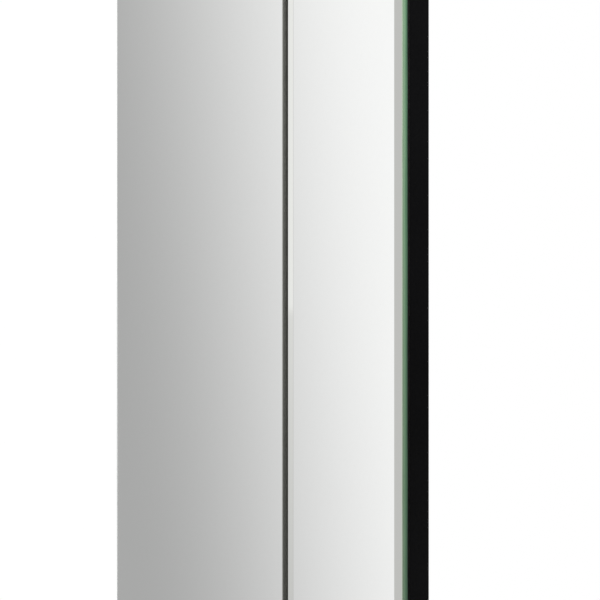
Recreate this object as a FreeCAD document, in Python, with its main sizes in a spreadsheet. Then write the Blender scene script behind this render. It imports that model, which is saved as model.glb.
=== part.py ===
import FreeCAD, Part
import math
import os
import re
import Sketcher

# Wall mirror: a plain centre pane inside four bevelled border strips. Foam tape bonds the glass to a
# black frame of four mitred rails with a board let into its front. Four hinged rings on the rear hang
# it upright or on its side, and rubber bumpers hold it clear of the wall.
# X points right and Z up as the mirror is looked at, and Y points from the glass to the wall.
# The origin is the centre of the frame's rear plane.

# Driving sizes in millimetres
SIZES = {
    # Whole mirror, hung upright
    "mirror_width": 610,
    "mirror_height": 914,
    # Glass
    "glass_thickness": 4,
    "border_width": 50,
    "bevel_width": 3,
    "bevel_depth": 0.75,
    "groove_width": 1.8,
    "mitre_gap": 0.5,
    "pane_arris": 0.4,
    # Foam tape under the glass
    "tape_thickness": 1.2,
    "tape_width": 18,
    "tape_setback": 20,
    # Frame rails, board and batten
    "rail_width": 64,
    "rail_thickness": 12.3,
    "rail_round": 0.3,
    "rebate_width": 9,
    "board_thickness": 5,
    "board_clearance": 0.3,
    "batten_width": 60,
    # Corner plates
    "plate_leg": 66,
    "plate_width": 16,
    "plate_thickness": 1.5,
    "plate_inset": 12,
    "plate_round": 3,
    "near_hole": 32,
    "far_hole": 56,
    # Hangers: a strap folded round the bar of a wire ring
    "hanger_drop": 200,
    "strap_width": 12,
    "strap_thickness": 0.8,
    "strap_length": 46,
    "strap_gap": 0.1,
    "strap_round": 5,
    "ring_wire": 2.4,
    "ring_bar": 14.4,
    "ring_corner": 3.2,
    "ring_leg": 1.5,
    "pivot_clearance": 0.1,
    "first_screw": 22.5,
    "screw_pitch": 15,
    # Pan head screws
    "shank_diameter": 3.5,
    "shank_length": 9,
    "point_length": 3,
    "head_diameter": 7,
    "head_height": 2.2,
    "head_round": 1.3,
    "recess_span": 3.8,
    "recess_width": 1,
    "recess_depth": 1.2,
    "hole_clearance": 0.3,
    "pilot_clearance": 0.05,
    # Rubber bumpers
    "bumper_diameter": 13,
    "bumper_height": 5.5,
    "bumper_tip": 10,
    "bumper_round": 1,
    "bumper_inset": 120,
    # How far a mitre cut runs past the stock
    "cut_overrun": 2,
}
CENTRE_TAPES = 5

# Places in depth, from the wall side (0) to the front (negative)
REBATE_DEPTH = "(rail_thickness - board_thickness)"
GLASS_BACK = "-(rail_thickness + tape_thickness)"
PIVOT_HEIGHT = "(ring_wire / 2 + pivot_clearance + strap_thickness)"
STRAP_STACK = "(2 * strap_thickness + strap_gap)"
# The centre pane, left by the border strips and the groove
PANE_WIDTH = "(mirror_width - 2 * (border_width + groove_width))"
PANE_HEIGHT = "(mirror_height - 2 * (border_width + groove_width))"
# The board, let into the rebate of the rails
BOARD_MARGIN = "(rail_width - rebate_width + board_clearance)"
# Middle lines of the rails, from the centre of the frame
RAIL_LINE_X = "(mirror_width / 2 - rail_width / 2)"
RAIL_LINE_Z = "(mirror_height / 2 - rail_width / 2)"
# Hanger pivots, from the centre of the frame
HANGER_X = "(mirror_width / 2 - hanger_drop)"
HANGER_Z = "(mirror_height / 2 - hanger_drop)"

QUARTER_TURN = 90
# The four sides, each a quarter turn about Y after the one before: name, length along the side and place
# of its outer edge
SIDES = (
    ("bottom", "mirror_width", "0", "-mirror_height / 2"),
    ("left", "mirror_height", "-mirror_width / 2", "0"),
    ("top", "mirror_width", "0", "mirror_height / 2"),
    ("right", "mirror_height", "mirror_width / 2", "0"),
)
# The four corners, each a quarter turn about Y after the one before: name and signs of X and Z
CORNERS = (
    ("lower_left", "-", "-"),
    ("upper_left", "-", ""),
    ("upper_right", "", ""),
    ("lower_right", "", "-"),
)
# The four hangers: name, quarter turns about Y from ring upwards, place of the pivot. Those on the left
# and right rails carry the upright mirror, and those on the top and bottom rails the mirror on its side.
HANGERS = (
    ("left", 0, f"-{RAIL_LINE_X}", HANGER_Z),
    ("right", 0, RAIL_LINE_X, HANGER_Z),
    ("top", 1, HANGER_X, RAIL_LINE_Z),
    ("bottom", 1, HANGER_X, f"-{RAIL_LINE_Z}"),
)

doc = FreeCAD.newDocument("bevelled_mirror")
sheet = doc.addObject("Spreadsheet::Sheet", "Sizes")
for row, (alias, size) in enumerate(SIZES.items(), start=1):
    sheet.set(f"A{row}", str(size))
    sheet.setAlias(f"A{row}", alias)
doc.recompute()

nodes = []


def value(text):
    return float(sheet.evalExpression(text))


def bind(item, path, text):
    # Every name with an underscore in an expression is a cell of the sheet
    item.setExpression(path, re.sub(r"[a-z]+(?:_[a-z]+)+", r"Sizes.\g<0>", text))


def place(item, quarters, x, y, z):
    turn = FreeCAD.Rotation(FreeCAD.Vector(0, 1, 0), quarters * QUARTER_TURN)
    item.Placement = FreeCAD.Placement(FreeCAD.Vector(), turn)
    for axis, text in zip("xyz", (x, y, z)):
        bind(item, f"Placement.Base.{axis}", text)


def turned(quarters, x, z):
    # Where a point goes, given as expressions, with quarter turns about Y
    for _ in range(quarters):
        x, z = z, f"-({x})"
    return x, z


def new_body(label):
    body = doc.addObject("PartDesign::Body", label)
    body.Label = label
    return body


def keep(item):
    nodes.append(item)
    return item


def new_sketch(body, name, role):
    plane = next(feature for feature in body.Origin.OriginFeatures if feature.Role == role)
    sketch = body.newObject("Sketcher::SketchObject", name)
    sketch.AttachmentSupport = [(plane, "")]
    sketch.MapMode = "FlatFace"
    return sketch


def fix_distance(sketch, kind, geometry, end, text):
    constraint = Sketcher.Constraint(kind, -1, 1, geometry, end, value(text))
    index = sketch.addConstraint(constraint)
    bind(sketch, f"Constraints[{index}]", text)


def fix_point(sketch, geometry, end, x, y):
    fix_distance(sketch, "DistanceX", geometry, end, x)
    fix_distance(sketch, "DistanceY", geometry, end, y)


def draw_outline(sketch, corners, arc_centres=None):
    # Closed and counter-clockwise, straight from corner to corner or round the arc centre of that side
    arc_centres = arc_centres or {}
    points = [FreeCAD.Vector(value(x), value(y), 0) for x, y in corners]
    first = sketch.GeometryCount
    count = len(points)
    for index, start in enumerate(points):
        end = points[(index + 1) % count]
        if index in arc_centres:
            centre = FreeCAD.Vector(*(value(text) for text in arc_centres[index]), 0)
            circle = Part.Circle(centre, FreeCAD.Vector(0, 0, 1), (start - centre).Length)
            angles = [math.atan2(point.y - centre.y, point.x - centre.x) for point in (start, end)]
            sketch.addGeometry(Part.ArcOfCircle(circle, *angles))
        else:
            sketch.addGeometry(Part.LineSegment(start, end))
    for index, (x, y) in enumerate(corners):
        side = first + index
        before = first + (index - 1) % count
        sketch.addConstraint(Sketcher.Constraint("Coincident", before, 2, side, 1))
        fix_point(sketch, side, 1, x, y)
    for index, (_, y) in arc_centres.items():
        fix_distance(sketch, "DistanceY", first + index, 3, y)


def draw_rectangle(sketch, width, height):
    # Centred on the sketch's origin
    draw_outline(sketch, [
        (f"-{width} / 2", f"-{height} / 2"),
        (f"{width} / 2", f"-{height} / 2"),
        (f"{width} / 2", f"{height} / 2"),
        (f"-{width} / 2", f"{height} / 2"),
    ])


def draw_circle(sketch, x, y, radius):
    centre = FreeCAD.Vector(value(x), value(y), 0)
    circle = sketch.addGeometry(Part.Circle(centre, FreeCAD.Vector(0, 0, 1), value(radius)))
    fix_point(sketch, circle, 3, x, y)
    index = sketch.addConstraint(Sketcher.Constraint("Radius", circle, value(radius)))
    bind(sketch, f"Constraints[{index}]", radius)


def add_pad(body, sketch, length, reverse=False, symmetric=False):
    pad = body.newObject("PartDesign::Pad", "Pad")
    pad.Profile = sketch
    pad.Reversed = reverse
    if symmetric:
        pad.SideType = "Symmetric"
    bind(pad, "Length", length)
    doc.recompute()
    return pad


def add_pocket(body, sketch, depth=None, reverse=False):
    # Through everything on both sides where no depth is given
    before = body.Shape.Volume
    pocket = body.newObject("PartDesign::Pocket", "Pocket")
    pocket.Profile = sketch
    pocket.Reversed = reverse
    if depth is None:
        pocket.Type = "ThroughAll"
        pocket.SideType = "Symmetric"
    else:
        bind(pocket, "Length", depth)
    doc.recompute()
    if body.Shape.Volume >= before:
        raise RuntimeError(f"{body.Label}: a pocket cuts nothing")
    return pocket


def add_revolution(body, sketch):
    turn = body.newObject("PartDesign::Revolution", "Revolution")
    turn.Profile = sketch
    turn.ReferenceAxis = (sketch, ["V_Axis"])
    turn.Angle = 360
    doc.recompute()
    return turn


def edges_where(feature, wanted):
    return [
        f"Edge{index}"
        for index, edge in enumerate(feature.Shape.Edges, start=1)
        if wanted(edge.BoundBox)
    ]


def add_dress(body, kind, feature, edges, path, size):
    dress = body.newObject(f"PartDesign::{kind}", kind)
    dress.Base = (feature, edges)
    bind(dress, path, size)
    doc.recompute()
    return dress


def near(first, second):
    return abs(first - second) < 1e-6


# Side members: a section drawn across the member, then a mitre at each end. The outer edge of the
# unturned member is on the X axis and its inner edge above it.
def make_member(label, section, length, width, gap, arc_centres=None):
    body = new_body(label)
    profile = new_sketch(body, "Section", "YZ_Plane")
    draw_outline(profile, section, arc_centres)
    add_pad(body, profile, length, symmetric=True)
    mitre = new_sketch(body, "Mitre", "XZ_Plane")
    shift = f"{gap} * sqrt(2) / 2"
    for side in ("", "-"):
        draw_outline(mitre, [
            (f"{side}({length} / 2 + cut_overrun)", f"-(cut_overrun + {shift})"),
            (f"{side}({length} / 2 - {shift} - {width} - cut_overrun)", f"{width} + cut_overrun"),
            (f"{side}({length} / 2 + cut_overrun)", f"{width} + cut_overrun"),
        ])
    add_pocket(body, mitre)
    return body


def make_border_strips():
    edge_depth = "-(glass_thickness - bevel_depth)"
    section = [
        ("0", "0"),
        ("0", "border_width"),
        (edge_depth, "border_width"),
        ("-glass_thickness", "border_width - bevel_width"),
        ("-glass_thickness", "bevel_width"),
        (edge_depth, "0"),
    ]
    for quarters, (name, length, x, z) in enumerate(SIDES):
        strip = keep(make_member(f"border_strip_{name}", section, length, "border_width", "mitre_gap"))
        place(strip, quarters, x, GLASS_BACK, z)


def make_frame_rails():
    section = [
        ("-rail_round", "0"),
        ("0", "rail_round"),
        ("0", "rail_width"),
        (f"-{REBATE_DEPTH}", "rail_width"),
        (f"-{REBATE_DEPTH}", "rail_width - rebate_width"),
        ("-rail_thickness", "rail_width - rebate_width"),
        ("-rail_thickness", "rail_round"),
        ("rail_round - rail_thickness", "0"),
    ]
    eased_edges = {
        0: ("-rail_round", "rail_round"),
        6: ("rail_round - rail_thickness", "rail_round"),
    }
    plate_line = "plate_inset + plate_width / 2"
    pilot_radius = "shank_diameter / 2 + pilot_clearance"
    for quarters, (name, length, x, z) in enumerate(SIDES):
        rail = keep(make_member(f"frame_rail_{name}", section, length, "rail_width", "0", eased_edges))
        pilots = new_sketch(rail, "Pilots", "XZ_Plane")
        for hole in ("near_hole", "far_hole"):
            for side in ("", "-"):
                draw_circle(pilots, f"{side}({length} / 2 - plate_inset - {hole})", plate_line, pilot_radius)
        towards_ring = "" if name in ("right", "bottom") else "-"
        for screw in ("first_screw", "(first_screw + screw_pitch)"):
            along = f"{towards_ring}({length} / 2 - hanger_drop - {screw})"
            draw_circle(pilots, along, "rail_width / 2", pilot_radius)
        add_pocket(rail, pilots, depth="shank_length", reverse=True)
        place(rail, quarters, x, "0", z)


def make_centre_mirror():
    body = keep(new_body("centre_mirror"))
    outline = new_sketch(body, "Outline", "XZ_Plane")
    draw_rectangle(outline, PANE_WIDTH, PANE_HEIGHT)
    pane = add_pad(body, outline, "glass_thickness")
    front = -value("glass_thickness")
    front_edges = edges_where(pane, lambda box: near(box.YMin, front) and near(box.YMax, front))
    add_dress(body, "Chamfer", pane, front_edges, "Size", "pane_arris")
    place(body, 0, "0", GLASS_BACK, "0")


def make_tape(label, width, height, x, z):
    tape = keep(doc.addObject("Part::Box", label))
    tape.Label = label
    bind(tape, "Length", width)
    bind(tape, "Width", "tape_thickness")
    bind(tape, "Height", height)
    place(tape, 0, f"{x} - {width} / 2", GLASS_BACK, f"{z} - {height} / 2")


def make_tapes():
    span = f"({PANE_WIDTH} - 2 * tape_setback - tape_width)"
    for index in range(CENTRE_TAPES):
        share = index / (CENTRE_TAPES - 1) - 0.5
        make_tape(f"centre_tape_{index + 1}", "tape_width", f"({PANE_HEIGHT} - 2 * tape_setback)",
                  f"{share} * {span}", "0")
    across = "(mirror_width - 2 * border_width)"
    upright = "(mirror_height - 2 * border_width)"
    line_x = "(mirror_width / 2 - border_width / 2)"
    line_z = "(mirror_height / 2 - border_width / 2)"
    make_tape("border_tape_left", "tape_width", upright, f"-{line_x}", "0")
    make_tape("border_tape_right", "tape_width", upright, line_x, "0")
    make_tape("border_tape_top", across, "tape_width", "0", line_z)
    make_tape("border_tape_bottom", across, "tape_width", "0", f"-{line_z}")


def make_centre_board():
    body = keep(new_body("centre_board"))
    outline = new_sketch(body, "Outline", "XZ_Plane")
    draw_rectangle(outline, f"(mirror_width - 2 * {BOARD_MARGIN})", f"(mirror_height - 2 * {BOARD_MARGIN})")
    add_pad(body, outline, "board_thickness")
    place(body, 0, "0", f"-{REBATE_DEPTH}", "0")


def make_cross_batten():
    body = keep(new_body("cross_batten"))
    outline = new_sketch(body, "Outline", "XZ_Plane")
    draw_rectangle(outline, "(mirror_width - 2 * (rail_width + board_clearance))", "batten_width")
    add_pad(body, outline, REBATE_DEPTH)


# The holes of a corner plate, from its outer corner
PLATE_HOLES = (
    ("near_hole", "plate_width / 2"),
    ("far_hole", "plate_width / 2"),
    ("plate_width / 2", "near_hole"),
    ("plate_width / 2", "far_hole"),
)


def plate_corner(sign_x, sign_z):
    return f"{sign_x}(mirror_width / 2 - plate_inset)", f"{sign_z}(mirror_height / 2 - plate_inset)"


def make_corner_plates():
    for quarters, (name, sign_x, sign_z) in enumerate(CORNERS):
        body = keep(new_body(f"corner_plate_{name}"))
        outline = new_sketch(body, "Outline", "XZ_Plane")
        draw_outline(outline, [
            ("0", "0"),
            ("plate_leg", "0"),
            ("plate_leg", "plate_width"),
            ("plate_width", "plate_width"),
            ("plate_width", "plate_leg"),
            ("0", "plate_leg"),
        ])
        plate = add_pad(body, outline, "plate_thickness", reverse=True)
        leg = value("plate_leg")
        thickness = value("plate_thickness")
        leg_ends = edges_where(plate, lambda box: near(box.YLength, thickness)
                               and (near(box.XMin, leg) or near(box.ZMin, leg)))
        add_dress(body, "Fillet", plate, leg_ends, "Radius", "plate_round")
        holes = new_sketch(body, "Holes", "XZ_Plane")
        for x, z in PLATE_HOLES:
            draw_circle(holes, x, z, "shank_diameter / 2 + hole_clearance")
        add_pocket(body, holes)
        corner_x, corner_z = plate_corner(sign_x, sign_z)
        place(body, quarters, corner_x, "0", corner_z)


# A hanger's strap: two leaves lying on the rail, joined by a loop round the ring's bar
def make_hanger_plate(name, quarters, x, z):
    body = keep(new_body(f"hanger_plate_{name}"))
    loop = new_sketch(body, "Loop", "YZ_Plane")
    draw_circle(loop, PIVOT_HEIGHT, "0", PIVOT_HEIGHT)
    add_pad(body, loop, "strap_width", symmetric=True)
    leaves = new_sketch(body, "Leaves", "YZ_Plane")
    for rise in ("0", "(strap_thickness + strap_gap)"):
        draw_outline(leaves, [
            (rise, "-strap_length"),
            (f"{rise} + strap_thickness", "-strap_length"),
            (f"{rise} + strap_thickness", "0"),
            (rise, "0"),
        ])
    leaf_pad = add_pad(body, leaves, "strap_width", symmetric=True)
    tail = -value("strap_length")
    thickness = value("strap_thickness")
    tail_corners = edges_where(leaf_pad, lambda box: near(box.ZMax, tail) and near(box.YLength, thickness))
    add_dress(body, "Fillet", leaf_pad, tail_corners, "Radius", "strap_round")
    bore = new_sketch(body, "Bore", "YZ_Plane")
    draw_circle(bore, PIVOT_HEIGHT, "0", "ring_wire / 2 + pivot_clearance")
    add_pocket(body, bore)
    holes = new_sketch(body, "Holes", "XZ_Plane")
    for screw in ("-first_screw", "-(first_screw + screw_pitch)"):
        draw_circle(holes, "0", screw, "shank_diameter / 2 + hole_clearance")
    add_pocket(body, holes)
    place(body, quarters, x, "0", z)


# A hanger's ring: round wire along a closed path, a straight bar with bent corners under a half circle.
# The path starts in the middle of the bar, where the wire's section is drawn.
def make_hanger_ring(name, quarters, x, z):
    body = keep(new_body(f"hanger_ring_{name}"))
    path = new_sketch(body, "Path", "XZ_Plane")
    reach = "(ring_bar / 2 + ring_corner)"
    leg_top = "(ring_corner + ring_leg)"
    corners = [
        ("0", "0"),
        ("ring_bar / 2", "0"),
        (reach, "ring_corner"),
        (reach, leg_top),
        (f"-{reach}", leg_top),
        (f"-{reach}", "ring_corner"),
        ("-ring_bar / 2", "0"),
    ]
    arc_centres = {
        1: ("ring_bar / 2", "ring_corner"),
        3: ("0", leg_top),
        5: ("-ring_bar / 2", "ring_corner"),
    }
    draw_outline(path, corners, arc_centres)
    wire = new_sketch(body, "Wire", "YZ_Plane")
    draw_circle(wire, "0", "0", "ring_wire / 2")
    doc.recompute()
    sweep = body.newObject("PartDesign::AdditivePipe", "Sweep")
    sweep.Profile = wire
    sweep.Spine = path
    doc.recompute()
    place(body, quarters, x, PIVOT_HEIGHT, z)


# A pan head screw along Y, with the underside of its head at the origin and a cross recess in its head
def make_screw():
    body = new_body("screw")
    profile = new_sketch(body, "Profile", "XY_Plane")
    draw_outline(profile, [
        ("0", "-shank_length"),
        ("shank_diameter / 2", "point_length - shank_length"),
        ("shank_diameter / 2", "0"),
        ("head_diameter / 2", "0"),
        ("head_diameter / 2", "head_height"),
        ("0", "head_height"),
    ])
    turning = add_revolution(body, profile)
    top = value("head_height")
    rim = edges_where(turning, lambda box: near(box.YMin, top) and near(box.YMax, top))
    add_dress(body, "Fillet", turning, rim, "Radius", "head_round")
    recess = new_sketch(body, "Recess", "XZ_Plane")
    bind(recess, "AttachmentOffset.Base.z", "-head_height")
    arm = "recess_span / 2"
    half = "recess_width / 2"
    draw_outline(recess, [
        (arm, f"-{half}"), (arm, half), (half, half),
        (half, arm), (f"-{half}", arm), (f"-{half}", half),
        (f"-{arm}", half), (f"-{arm}", f"-{half}"), (f"-{half}", f"-{half}"),
        (f"-{half}", f"-{arm}"), (half, f"-{arm}"), (half, f"-{half}"),
    ])
    add_pocket(body, recess, depth="recess_depth", reverse=True)
    return body


def make_screw_group(label, screw, seats):
    links = []
    for index, (x, y, z) in enumerate(seats, start=1):
        link = doc.addObject("App::Link", f"{label}_{index}")
        link.setLink(screw)
        place(link, 0, x, y, z)
        links.append(link)
    group = keep(doc.addObject("Part::Compound", label))
    group.Label = label
    group.Links = links


def make_screws():
    screw = make_screw()
    plate_seats = []
    for quarters, (_, sign_x, sign_z) in enumerate(CORNERS):
        corner_x, corner_z = plate_corner(sign_x, sign_z)
        for hole in PLATE_HOLES:
            step_x, step_z = turned(quarters, *hole)
            plate_seats.append((f"{corner_x} + {step_x}", "plate_thickness", f"{corner_z} + {step_z}"))
    make_screw_group("corner_plate_screws", screw, plate_seats)
    hanger_seats = []
    for _, quarters, x, z in HANGERS:
        for along in ("-first_screw", "-(first_screw + screw_pitch)"):
            step_x, step_z = turned(quarters, "0", along)
            hanger_seats.append((f"{x} + {step_x}", STRAP_STACK, f"{z} + {step_z}"))
    make_screw_group("hanger_screws", screw, hanger_seats)


def make_wall_bumpers():
    for name, sign_x, sign_z in CORNERS:
        body = keep(new_body(f"wall_bumper_{name}"))
        profile = new_sketch(body, "Profile", "XY_Plane")
        draw_outline(profile, [
            ("0", "0"),
            ("bumper_diameter / 2", "0"),
            ("bumper_tip / 2", "bumper_height"),
            ("0", "bumper_height"),
        ])
        turning = add_revolution(body, profile)
        top = value("bumper_height")
        rim = edges_where(turning, lambda box: near(box.YMin, top) and near(box.YMax, top))
        add_dress(body, "Fillet", turning, rim, "Radius", "bumper_round")
        place(body, 0, f"{sign_x}(mirror_width / 2 - bumper_inset)", "0", f"{sign_z}{RAIL_LINE_Z}")


make_centre_mirror()
make_border_strips()
make_tapes()
make_frame_rails()
make_centre_board()
make_cross_batten()
make_corner_plates()
for hanger in HANGERS:
    make_hanger_plate(*hanger)
    make_hanger_ring(*hanger)
make_screws()
make_wall_bumpers()
doc.recompute()

failed = [item.Name for item in doc.Objects if {"Invalid", "Error"} & set(item.State)]
failed += [node.Label for node in nodes if node.Shape.isNull() or not node.Shape.isValid()]
if failed:
    raise RuntimeError(f"these did not build: {failed}")

os.makedirs("parts", exist_ok=True)
for node in nodes:
    node.Shape.exportStep(f"parts/{node.Label}.step")
print(f"{len(nodes)} nodes written")
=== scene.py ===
import math

import bmesh
import bpy
from mathutils import Matrix, Vector


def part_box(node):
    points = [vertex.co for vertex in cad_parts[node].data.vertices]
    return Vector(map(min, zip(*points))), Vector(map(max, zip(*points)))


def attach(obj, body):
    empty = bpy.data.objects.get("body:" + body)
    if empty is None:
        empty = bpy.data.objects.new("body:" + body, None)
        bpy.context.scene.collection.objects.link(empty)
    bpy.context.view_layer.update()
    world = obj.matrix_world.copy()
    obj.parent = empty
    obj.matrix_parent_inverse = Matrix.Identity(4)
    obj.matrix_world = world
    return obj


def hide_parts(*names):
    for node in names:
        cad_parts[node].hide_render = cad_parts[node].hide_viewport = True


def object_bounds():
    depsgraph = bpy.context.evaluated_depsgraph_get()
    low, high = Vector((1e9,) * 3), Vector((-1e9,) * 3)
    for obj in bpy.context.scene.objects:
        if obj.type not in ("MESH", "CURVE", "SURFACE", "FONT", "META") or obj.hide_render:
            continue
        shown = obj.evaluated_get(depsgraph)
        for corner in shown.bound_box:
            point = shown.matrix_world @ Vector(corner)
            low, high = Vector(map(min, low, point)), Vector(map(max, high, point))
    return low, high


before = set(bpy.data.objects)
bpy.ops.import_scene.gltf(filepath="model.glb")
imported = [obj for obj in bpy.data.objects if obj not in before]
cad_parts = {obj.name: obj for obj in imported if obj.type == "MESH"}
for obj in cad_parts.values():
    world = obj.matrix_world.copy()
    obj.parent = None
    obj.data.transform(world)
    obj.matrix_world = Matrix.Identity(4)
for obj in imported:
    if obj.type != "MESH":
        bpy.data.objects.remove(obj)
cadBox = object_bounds()
mm = 0.001
sides = ("bottom", "left", "top", "right")  # in quarter turns about Y
corners = ("lower_left", "upper_left", "upper_right", "lower_right")
noiseSpan = (0.3, 0.7)  # nearly all values of a noise texture lie in here
print("frame loaded,", len(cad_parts), "nodes")


def lengths(values, *keys):
    return [values[key] * mm for key in keys]


def shade(colour, amount):
    return tuple(part * amount for part in colour)


# node helpers
def plugIn(tree, source, socket):
    if isinstance(source, bpy.types.NodeSocket):
        tree.links.new(source, socket)
    else:
        socket.default_value = source


def addNode(tree, kind, inputs=None, **settings):
    node = tree.nodes.new(kind)
    for name, setting in settings.items():
        setattr(node, name, setting)
    for name, source in (inputs or {}).items():
        plugIn(tree, source, node.inputs[name])
    return node


def calc(tree, operation, first, second=0.0):
    return addNode(tree, "ShaderNodeMath", {0: first, 1: second}, operation=operation).outputs[0]


def weigh(tree, amounts, shares):
    first, second = (calc(tree, "MULTIPLY", amount, share) for amount, share in zip(amounts, shares))
    return calc(tree, "ADD", first, second)


def mix(tree, share, first, second):
    return addNode(tree, "ShaderNodeMix", {0: share, 2: first, 3: second}).outputs[0]


def mixColours(tree, share, first, second):
    return addNode(tree, "ShaderNodeMix", {0: share, 6: first, 7: second}, data_type="RGBA").outputs[2]


def splitAxes(tree, vector):
    return addNode(tree, "ShaderNodeSeparateXYZ", {0: vector}).outputs


def joinAxes(tree, x, y, z):
    return addNode(tree, "ShaderNodeCombineXYZ", {0: x, 1: y, 2: z}).outputs[0]


def lengthOf(tree, vector):
    return addNode(tree, "ShaderNodeVectorMath", {0: vector}, operation="LENGTH").outputs["Value"]


def mapRange(tree, amount, fromSpan, toSpan, blend="LINEAR"):
    numbers = dict(enumerate((amount, *fromSpan, *toSpan)))
    return addNode(tree, "ShaderNodeMapRange", numbers, interpolation_type=blend).outputs[0]


def fade(tree, amount, fromSpan, toSpan):
    return mapRange(tree, amount, fromSpan, toSpan, "SMOOTHSTEP")


def colourRamp(tree, amount, stops):
    node = addNode(tree, "ShaderNodeValToRGB", {0: amount})
    elements = node.color_ramp.elements
    first, *middle, last = stops
    for element, (spot, colour) in zip(elements, (first, last)):
        element.position = spot
        element.color = (*colour, 1)
    for spot, colour in middle:
        elements.new(spot).color = (*colour, 1)
    return node.outputs[0]


def noise(tree, place, scale, stretch=(1, 1, 1), detail=3.0):
    stretched = addNode(tree, "ShaderNodeMapping", {"Vector": place, "Scale": stretch}).outputs[0]
    settings = {"Vector": stretched, "Scale": scale, "Detail": detail}
    return addNode(tree, "ShaderNodeTexNoise", settings).outputs[0]


def startFinish(name, **sockets):
    finish = bpy.data.materials.new(name)
    finish.use_nodes = True
    tree = finish.node_tree
    shader = next(node for node in tree.nodes if node.type == "BSDF_PRINCIPLED")
    for label, amount in sockets.items():
        shader.inputs[label.replace("_", " ")].default_value = amount
    place = addNode(tree, "ShaderNodeTexCoord").outputs["Object"]
    return finish, tree, shader, place


def addBump(tree, shader, height, bump):
    strength, depth = bump
    inputs = {"Height": height, "Strength": strength, "Distance": depth * mm}
    plugIn(tree, addNode(tree, "ShaderNodeBump", inputs).outputs[0], shader.inputs["Normal"])


def setSurface(tree, shader, colour, grain, look):
    plugIn(tree, colour, shader.inputs["Base Color"])
    plugIn(tree, mapRange(tree, grain, noiseSpan, look["roughness"]), shader.inputs["Roughness"])
    addBump(tree, shader, grain, look["bump"])  # a look's bump is its strength and its depth in mm


# silvered fronts; the green of the edge shows through the thin rim of the bevels
silver = {"tint": (0.940, 0.946, 0.938), "bevelTint": (0.940, 0.945, 0.915), "brighter": 1.006,
          "mottle": 520.0, "mottleShare": 0.5, "paneWipe": 36.0, "bevelWipe": 220.0,
          "wipeStretch": (1, 1, 0.35), "roughness": (0.002, 0.009),
          "rimTint": (0.920, 0.995, 0.875), "rimReach": (0.9, 0.3), "rimStops": (0.45, 0.75)}


def silverFinish(name, tint, wipe, rimTint=None):
    finish, tree, shader, place = startFinish(name, Metallic=1.0)
    amount = noise(tree, place, silver["mottle"], detail=2.0)
    bright = shade(tint, silver["brighter"])
    stops = list(zip(noiseSpan, (tint, bright)))
    if rimTint:
        axes = splitAxes(tree, place)
        gaps = [calc(tree, "SUBTRACT", cadBox[1][axis], calc(tree, "ABSOLUTE", axes[axis]))
                for axis in (0, 2)]
        share = silver["mottleShare"]
        reach = [span * mm for span in silver["rimReach"]]
        rim = mapRange(tree, calc(tree, "MINIMUM", *gaps), reach, (0.0, 1.0 - share))
        amount = calc(tree, "ADD", calc(tree, "MULTIPLY", amount, share), rim)
        stops = [(spot * share, colour) for spot, colour in stops]
        stops += zip(silver["rimStops"], (bright, rimTint))
    plugIn(tree, colourRamp(tree, amount, stops), shader.inputs["Base Color"])
    wiped = noise(tree, place, wipe, silver["wipeStretch"], detail=4.0)
    plugIn(tree, mapRange(tree, wiped, noiseSpan, silver["roughness"]), shader.inputs["Roughness"])
    return finish


# glass edges, coloured by depth from 0 at the front of the glass to 1 at its back; the depth colours hold
# painted light and shade
glassEdge = {
    # green edge: pale at the front as a painted highlight on the front arris, darker towards the back as
    # painted shade, near black-green at the back as the painted shade of the gap behind the glass
    "greenEdgePaintedLightAndShade": {
        "stops": [(0.20, (0.216, 0.297, 0.205)), (0.27, (0.153, 0.243, 0.148)),
                  (0.56, (0.135, 0.250, 0.144)), (0.66, (0.065, 0.155, 0.081)),
                  (0.85, (0.050, 0.122, 0.063)), (0.94, (0.011, 0.036, 0.018))],
        "grain": 160.0, "stretch": (0.25, 14.0, 0.25), "shift": 0.07,
        "roughness": (0.22, 0.38), "bump": (0.15, 0.05), "specular": 0.5},
    # seamed edge: darker near the front and lighter deeper in, painted light that evens out the shade
    # inside the groove
    "seamedEdgePaintedLight": {
        "stops": [(0.25, (0.142, 0.144, 0.132)), (0.60, (0.37, 0.37, 0.34))],
        "grain": 2600.0, "stretch": (1, 1, 1), "shift": 0.12,
        "roughness": (0.5, 0.75), "bump": (0.3, 0.05), "specular": 0.3},
    "seamedArris": {
        "stops": [(0.0, (0.32, 0.32, 0.30)), (1.0, (0.26, 0.26, 0.24))],
        "grain": 2600.0, "stretch": (1, 1, 1), "shift": 0.2,
        "roughness": (0.5, 0.75), "bump": (0.3, 0.05), "specular": 0.3}}


def glassEdgeFinish(name):
    look = glassEdge[name]
    finish, tree, shader, place = startFinish(name, Specular_IOR_Level=look["specular"])
    low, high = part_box("centre_mirror")
    depth = mapRange(tree, splitAxes(tree, place)[1], (low.y, high.y), (0.0, 1.0))
    marks = noise(tree, place, look["grain"], look["stretch"])
    stray = mapRange(tree, marks, noiseSpan, (-look["shift"], look["shift"]))
    colour = colourRamp(tree, calc(tree, "ADD", depth, stray), look["stops"])
    setSurface(tree, shader, colour, marks, look)
    return finish


backPaint = {"colour": (0.21, 0.225, 0.22), "paler": 1.15, "peel": 420.0,
             "roughness": (0.42, 0.56), "bump": (0.2, 0.1), "specular": 0.35}


def backPaintFinish():
    finish, tree, shader, place = startFinish("greyBackPaint", Specular_IOR_Level=backPaint["specular"])
    peel = noise(tree, place, backPaint["peel"], detail=2.0)
    colours = backPaint["colour"], shade(backPaint["colour"], backPaint["paler"])
    setSurface(tree, shader, colourRamp(tree, peel, zip(noiseSpan, colours)), peel, backPaint)
    return finish


foam = {"colour": (0.72, 0.72, 0.70), "cellShade": 0.72, "cell": 1800.0, "cellSpan": (0.0, 0.5),
        "roughness": 0.9, "bump": (0.5, 0.2), "specular": 0.2}


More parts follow.
